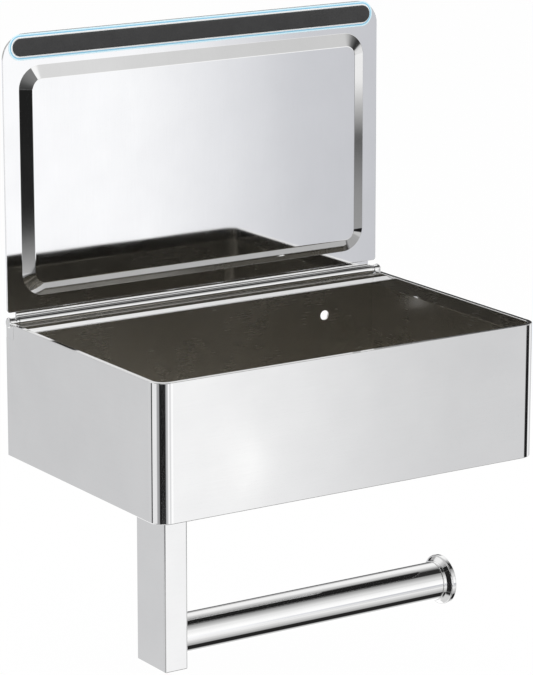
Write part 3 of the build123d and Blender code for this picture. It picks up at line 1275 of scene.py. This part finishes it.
@dataclass(frozen=True)
class Card:
    """A card in the studio, on a stretch of azimuth and a stretch of height with soft edges.

    Each stretch is given by where its rise starts and ends and where its fall starts and ends. The
    azimuth is in degrees from the front, to the left, and the height is a direction's Z. The card's
    brightness goes by the height, or by the azimuth if it is shaded sideways. Its name says where on
    the holder it is seen.
    """

    name: str
    azimuth: Stretch
    height: Stretch
    tones: tuple[Pair, ...]
    sideways: bool = False


def even_tone(grey: float) -> tuple[Pair, Pair]:
    """Give a card one brightness at every height."""
    return (-1.0, grey), (1.0, grey)


BLACK = even_tone(0.02)
PALE = even_tone(0.78)
WHITE = even_tone(1.16)
DIM = ((-1.0, 0.8), (-0.8, 0.7))
FULL_TURN = 360.0
FULL_HEIGHT = 2.0


@dataclass
class Studio:
    """A white studio: even light, a pale floor, and soft bands and cards that polished sheet mirrors.

    The bands are shares of the world's directions. Where the upright walls mirror, they go by the
    azimuth from the front, to the left, with a band of its own for the upper half, which the lid
    mirrors. Over the top and underneath they go by the angle up from the front about X. The cards
    stand in front of the bands.
    """

    even_light: float = 0.8
    floor_drop: float = 0.16
    floor_radius: float = 7.0
    floor_glow: float = 0.86
    lamp_power: float = 9.0
    lamp_size: float = 1.2
    lamp_place: Triple = (-0.7, -1.1, 1.6)
    floor_white: float = 1.025
    floor_sides: int = 96
    floor_tones: tuple[Triple, Triple] = ((0.97, 0.97, 0.97), (0.95, 0.95, 0.95))
    floor_cloud_scale: float = 3.0
    floor_cloud_detail: float = 3.0
    peak: float = 1.4
    upright: Stretch = (-0.362, -0.345, -0.13, -0.11)
    lid_half: Pair = (-0.236, -0.228)
    wall_tint: float = 0.03
    lid_tint: float = 0.11
    red_share: float = 0.25
    horizon: tuple[Pair, ...] = (
        (-180, 0.66), (-106, 0.7), (-92, 1.05), (-82, 1.05), (-76, 0.015), (-50, 0.015), (-45, 0.75),
        (-36, 0.76), (-35.2, 0.83), (-34.2, 0.9), (-33.2, 1.04), (-32.6, 1.08), (-31.4, 1.03),
        (-30, 1.2), (-17, 1.2), (-15, 0.88), (-5, 0.88), (-3, 1.18), (3, 1.18), (6, 0.7), (18, 0.45),
        (22, 0.015), (58, 0.015), (62, 0.4), (74, 0.42), (80, 0.95), (109, 0.95), (112, 0.02),
        (118, 0.02), (122, 0.735), (148.5, 0.735), (149.5, 0.69),
    )
    lid_horizon: tuple[Pair, ...] = (
        (-180, 0.7), (-106, 0.7), (-92, 1.05), (-52, 1.05), (-50, 0.05), (-39, 0.05), (-37, 0.66),
        (-34, 0.685), (-33, 0.84), (-32, 0.984), (-31.5, 1.06), (-31.2, 1.14), (-29, 1.17), (66, 1.17),
        (180, 0.7),
    )
    vault: tuple[Pair, ...] = (
        (-180, 0.45), (-160, 0.45), (-150, 1.25), (-126, 1.3), (-117, 1.13), (-109, 0.8), (-101, 0.72),
        (-96, 0.25), (-92, 0.02), (-64, 0.02), (-59.5, 0.46), (-50, 0.56), (-44, 0.74), (-37, 0.79),
        (-31, 0.97), (-18, 1.11), (-6, 1.2), (2, 1.2), (16, 1.06), (27, 0.89), (36, 0.74), (45, 0.53),
        (56, 0.34), (60, 0.03), (85, 0.03), (94, 0.3), (116, 0.95), (126, 1.1), (148, 1.1), (156, 0.45),
        (180, 0.45),
    )
    cards: tuple[Card, ...] = (
        Card(
            "left bevel of the dish",
            (1, 3, 11, 14),
            (-0.24, -0.23, -0.11, -0.1),
            (
                (-0.214, 0.8), (-0.213, 0.62), (-0.212, 0.42), (-0.2103, 0.333), (-0.2075, 0.23),
                (-0.205, 0.14), (-0.2028, 0.055), (-0.201, 0.02), (-0.15, 0.02), (-0.1, 0.06),
            ),
        ),
        Card(
            "upper left corner of the dish",
            (-15.4, -14.4, 12, 16),
            (-0.11, -0.1, 0.42, 0.46),
            ((-0.1, 0.06), (0.03, 0.11), (0.15, 0.21), (0.3, 0.3)),
        ),
        Card("back of the cap", (-179, -176, -156, -152), (-0.1, -0.06, 0.36, 0.42), BLACK),
        Card("upper edge of the bar", (-160, -156, -141, -138), (-0.12, -0.08, 0.14, 0.17), BLACK),
        Card("right rim", (-146.4, -145.6, -141.5, -140.5), (0.214, 0.22, 0.242, 0.248), BLACK),
        Card("upper cone of the cap", (50, 52, 78, 84), (0.1, 0.16, 0.8, 0.9), BLACK),
        Card("cone of the cap", (51.5, 52.8, 58.5, 60.5), (-0.82, -0.74, 0.26, 0.3), BLACK),
        Card("left wall in other views", (98, 104, 156, 162), (-0.56, -0.53, -0.36, -0.345), PALE),
        Card(
            "right wall in other views",
            (-139, -136.5, -104, -98),
            (-0.56, -0.53, -0.36, -0.345),
            PALE,
        ),
        Card("front wall from the right", (22, 26, 46, 49), (-0.39, -0.36, -0.315, -0.3), PALE),
        Card("front wall from the left", (-82, -76, -55, -51), (-0.39, -0.36, -0.315, -0.295), PALE),
        Card("faces that look down", (-20, 0, 170, 179), (-2.0, -1.5, -0.86, -0.78), DIM),
        Card(
            "upper bevel of the dish",
            (-48, -46, -15.4, -14.4),
            (0.27, 0.3, 0.42, 0.46),
            (
                (-45.5, 0.62), (-40, 0.8), (-36.6, 0.87), (-35, 0.9), (-34.2, 0.94), (-32.8, 1.01),
                (-31.9, 1.04), (-28.6, 1.05), (-27, 1.09), (-24.6, 1.3), (-22, 1.4),
            ),
            sideways=True,
        ),
        Card(
            "upper right corner of the dish",
            (-70, -66.5, -46.5, -45),
            (-0.12, -0.1, 0.3, 0.33),
            (
                (-67, 1.0), (-65.5, 0.8), (-64.8, 0.08), (-62, 0.045), (-59.4, 0.08), (-57, 0.16),
                (-54, 0.21), (-50, 0.4), (-45.5, 0.62),
            ),
            sideways=True,
        ),
        Card(
            "right bevel of the dish",
            (-86, -82, -56, -52),
            (-0.236, -0.228, -0.13, -0.11),
            (
                (-0.2035, 0.44), (-0.198, 0.407), (-0.192, 0.364), (-0.1866, 0.243), (-0.181, 0.095),
                (-0.178, 0.12), (-0.1752, 0.23), (-0.1723, 0.6), (-0.1695, 1.05), (-0.1665, 1.27),
            ),
        ),
        Card(
            "soft spot on the front wall",
            (-33.6, -32.9, -32.8, -31.6),
            (-0.298, -0.282, -0.28, -0.262),
            WHITE,
        ),
    )

    def band(
        self, sketch: Sketch, angle: Any, stops: Sequence[Pair], tint: float = 0.0
    ) -> bpy.types.NodeSocket:
        """Add a ramp of grey round a full turn.

        Args:
            sketch: The world's nodes.
            angle: The angle, in radians from -pi to pi.
            stops: Angle in degrees and brightness of each stop.
            tint: How much bluer than grey the darkest tone is.

        Returns:
            The share of the peak brightness in each direction.
        """
        share = sketch.math("MULTIPLY_ADD", angle, 0.5 / math.pi, 0.5)
        tones = []
        for degrees, grey in stops:
            tone = grey / self.peak
            cool = tint * (1 - tone)
            colour = (tone * (1 - cool * self.red_share), tone, tone * (1 + cool))
            tones.append((0.5 + degrees / FULL_TURN, colour))
        return sketch.ramp(share, tones)

    @staticmethod
    def step(sketch: Sketch, value: Any, low: float, high: float) -> bpy.types.NodeSocket:
        """Rise smoothly from 0 at the low value to 1 at the high one."""
        ends = {"Value": value, "From Min": low, "From Max": high}
        return sketch.add("MapRange", ends, interpolation_type="SMOOTHSTEP").outputs[0]

    def stretch(self, sketch: Sketch, value: Any, ends: Stretch) -> bpy.types.NodeSocket:
        """Rise smoothly to 1 at a stretch's start and fall back to 0 at its end.

        Args:
            sketch: The world's nodes.
            value: The azimuth or the height.
            ends: Where the rise starts and ends and where the fall starts and ends.

        Returns:
            The share from 0 to 1.
        """
        rise = self.step(sketch, value, *ends[:2])
        fall = self.step(sketch, value, *ends[2:])
        return sketch.math("SUBTRACT", rise, fall)

    def flags(self, sketch: Sketch) -> bpy.types.NodeSocket:
        """Add what polished surfaces mirror: the bands, and the cards in front of them.

        Args:
            sketch: The world's nodes.

        Returns:
            The share of the peak brightness in each direction.
        """
        axes = sketch.add("SeparateXYZ", {0: sketch.add("TexCoord").outputs["Generated"]}).outputs
        left = sketch.math("MULTIPLY", axes[0], -1.0)
        front = sketch.math("MULTIPLY", axes[1], -1.0)
        height = axes[2]
        azimuth = sketch.math("ARCTAN2", left, front)
        around = self.band(sketch, azimuth, self.horizon, self.wall_tint)
        facing = self.band(sketch, azimuth, self.lid_horizon, self.lid_tint)
        over = self.band(sketch, sketch.math("ARCTAN2", height, front), self.vault)
        level = sketch.mix(self.step(sketch, height, *self.lid_half), around, facing)
        seen = sketch.mix(self.stretch(sketch, height, self.upright), over, level)
        degrees = sketch.math("DEGREES", azimuth)
        for card in self.cards:
            value, span = (degrees, FULL_TURN) if card.sideways else (height, FULL_HEIGHT)
            tones = [(0.5 + place / span, (grey / self.peak,) * 3) for place, grey in card.tones]
            shade = sketch.ramp(sketch.math("MULTIPLY_ADD", value, 1 / span, 0.5), tones)
            across = self.stretch(sketch, degrees, card.azimuth)
            cover = sketch.math("MULTIPLY", across, self.stretch(sketch, height, card.height))
            seen = sketch.mix(cover, seen, shade)
            LOG.info("card: %s", card.name)
        return seen

    def world(self) -> None:
        """Light the scene: white to the camera, even to matt surfaces, bands and cards to polished."""
        world = bpy.data.worlds.new("studio")
        bpy.context.scene.world = world
        world.use_nodes = True
        sketch = Sketch(world.node_tree)
        flags = self.flags(sketch)
        rays = sketch.add("LightPath").outputs
        mirrored = sketch.math("MAXIMUM", rays["Is Glossy Ray"], rays["Is Transmission Ray"])
        even, white = (self.even_light / self.peak,) * 3, (1.0 / self.peak,) * 3
        plain = sketch.mix(rays["Is Camera Ray"], even, white)
        seen = sketch.mix(mirrored, plain, flags)
        back = sketch.add("Background", {"Color": seen, "Strength": self.peak})
        sketch.add("OutputWorld", {"Surface": back.outputs[0]})

    def floor(self) -> None:
        """Lay a pale round floor under the holder, kept out of the polished sheet's reflections."""
        height = CAD_BOX[0][2] - self.floor_drop
        angle = np.linspace(0.0, 2 * math.pi, self.floor_sides, endpoint=False)
        circle = np.stack([np.cos(angle), np.sin(angle), np.zeros_like(angle)], axis=-1)
        rim = circle * self.floor_radius
        mesh = bpy.data.meshes.new("studio_floor")
        mesh.from_pydata((rim + (0.0, 0.0, height)).tolist(), [], [list(range(len(rim)))])
        material, sketch = new_material("pale_floor")
        cloud = sketch.noise(sketch.place(), self.floor_cloud_scale, self.floor_cloud_detail)
        tint = sketch.mix(sketch.spread(cloud, 0.0, 1.0), *self.floor_tones)
        matt = sketch.add("BsdfDiffuse", {"Color": tint})
        glow = sketch.add("Emission", {"Color": (1.0, 1.0, 1.0, 1.0), "Strength": self.floor_white})
        camera = sketch.add("LightPath").outputs["Is Camera Ray"]
        share = sketch.math("MULTIPLY", camera, self.floor_glow)
        both = sketch.add("MixShader", {0: share, 1: matt.outputs[0], 2: glow.outputs[0]})
        sketch.add("OutputMaterial", {"Surface": both.outputs[0]})
        mesh.materials.append(material)
        floor = bpy.data.objects.new("studio_floor", mesh)
        floor.visible_glossy = False
        bpy.context.scene.collection.objects.link(floor)

    def lamp(self) -> None:
        """Hang one large soft lamp at the upper left, for shadows only."""
        light = bpy.data.lights.new("soft_lamp", "AREA")
        light.energy = self.lamp_power
        light.shape = "DISK"
        light.size = self.lamp_size
        lamp = bpy.data.objects.new("soft_lamp", light)
        towards = Vector(self.lamp_place).to_track_quat("Z", "Y")
        lamp.matrix_world = Matrix.LocRotScale(Vector(self.lamp_place), towards, None)
        lamp.visible_glossy = False
        bpy.context.scene.collection.objects.link(lamp)

    def build(self) -> None:
        """Set up the world, the floor and the lamp."""
        self.world()
        self.floor()
        self.lamp()
        bpy.context.scene.view_settings.view_transform = "Standard"


@dataclass
class Viewpoint:
    """The camera, as solved from the photograph's edges for an image of 533 by 675 pixels."""

    azimuth_deg: float = -33.176
    elevation_deg: float = 14.093
    roll_deg: float = 0.086
    distance: float = 1.612884
    target: Triple = (0.001963, -0.06, 0.010899)
    focal_pixels: float = 3410.802
    image_height: float = 675.0
    sensor: float = 36.0

    def build(self) -> None:
        """Place the camera: back along its line of sight from the target, then rolled about it."""
        azimuth, elevation, roll = np.radians([self.azimuth_deg, self.elevation_deg, self.roll_deg])
        flat = np.cos(elevation)
        back = np.array([np.sin(azimuth) * flat, -np.cos(azimuth) * flat, np.sin(elevation)])
        level = np.array([np.cos(azimuth), np.sin(azimuth), 0.0])
        above = np.cross(back, level)
        right = level * np.cos(roll) + above * np.sin(roll)
        up = above * np.cos(roll) - level * np.sin(roll)
        data = bpy.data.cameras.new("photo_camera")
        data.sensor_width = self.sensor
        data.lens = self.focal_pixels / self.image_height * self.sensor
        camera = bpy.data.objects.new("photo_camera", data)
        matrix = np.eye(4)
        matrix[:3, :3] = np.column_stack([right, up, back])
        matrix[:3, 3] = np.array(self.target) + back * self.distance
        camera.matrix_world = Matrix(matrix.tolist())
        bpy.context.scene.collection.objects.link(camera)
        bpy.context.scene.camera = camera


def main() -> None:
    """Build and dress the sub-assemblies, then the studio and the camera."""
    logging.basicConfig(level=logging.INFO, format="%(message)s")
    shop = Workshop()
    box, lid, hinge, arm = BoxAssembly(), LidAssembly(), HingeAssembly(), ArmAssembly()
    for assembly in (box, lid, hinge, arm):
        assembly.build(shop)
    for assembly in (box, hinge, arm):
        assembly.dress(shop)
    Studio().build()
    Viewpoint().build()


if __name__ == "__main__":
    main()
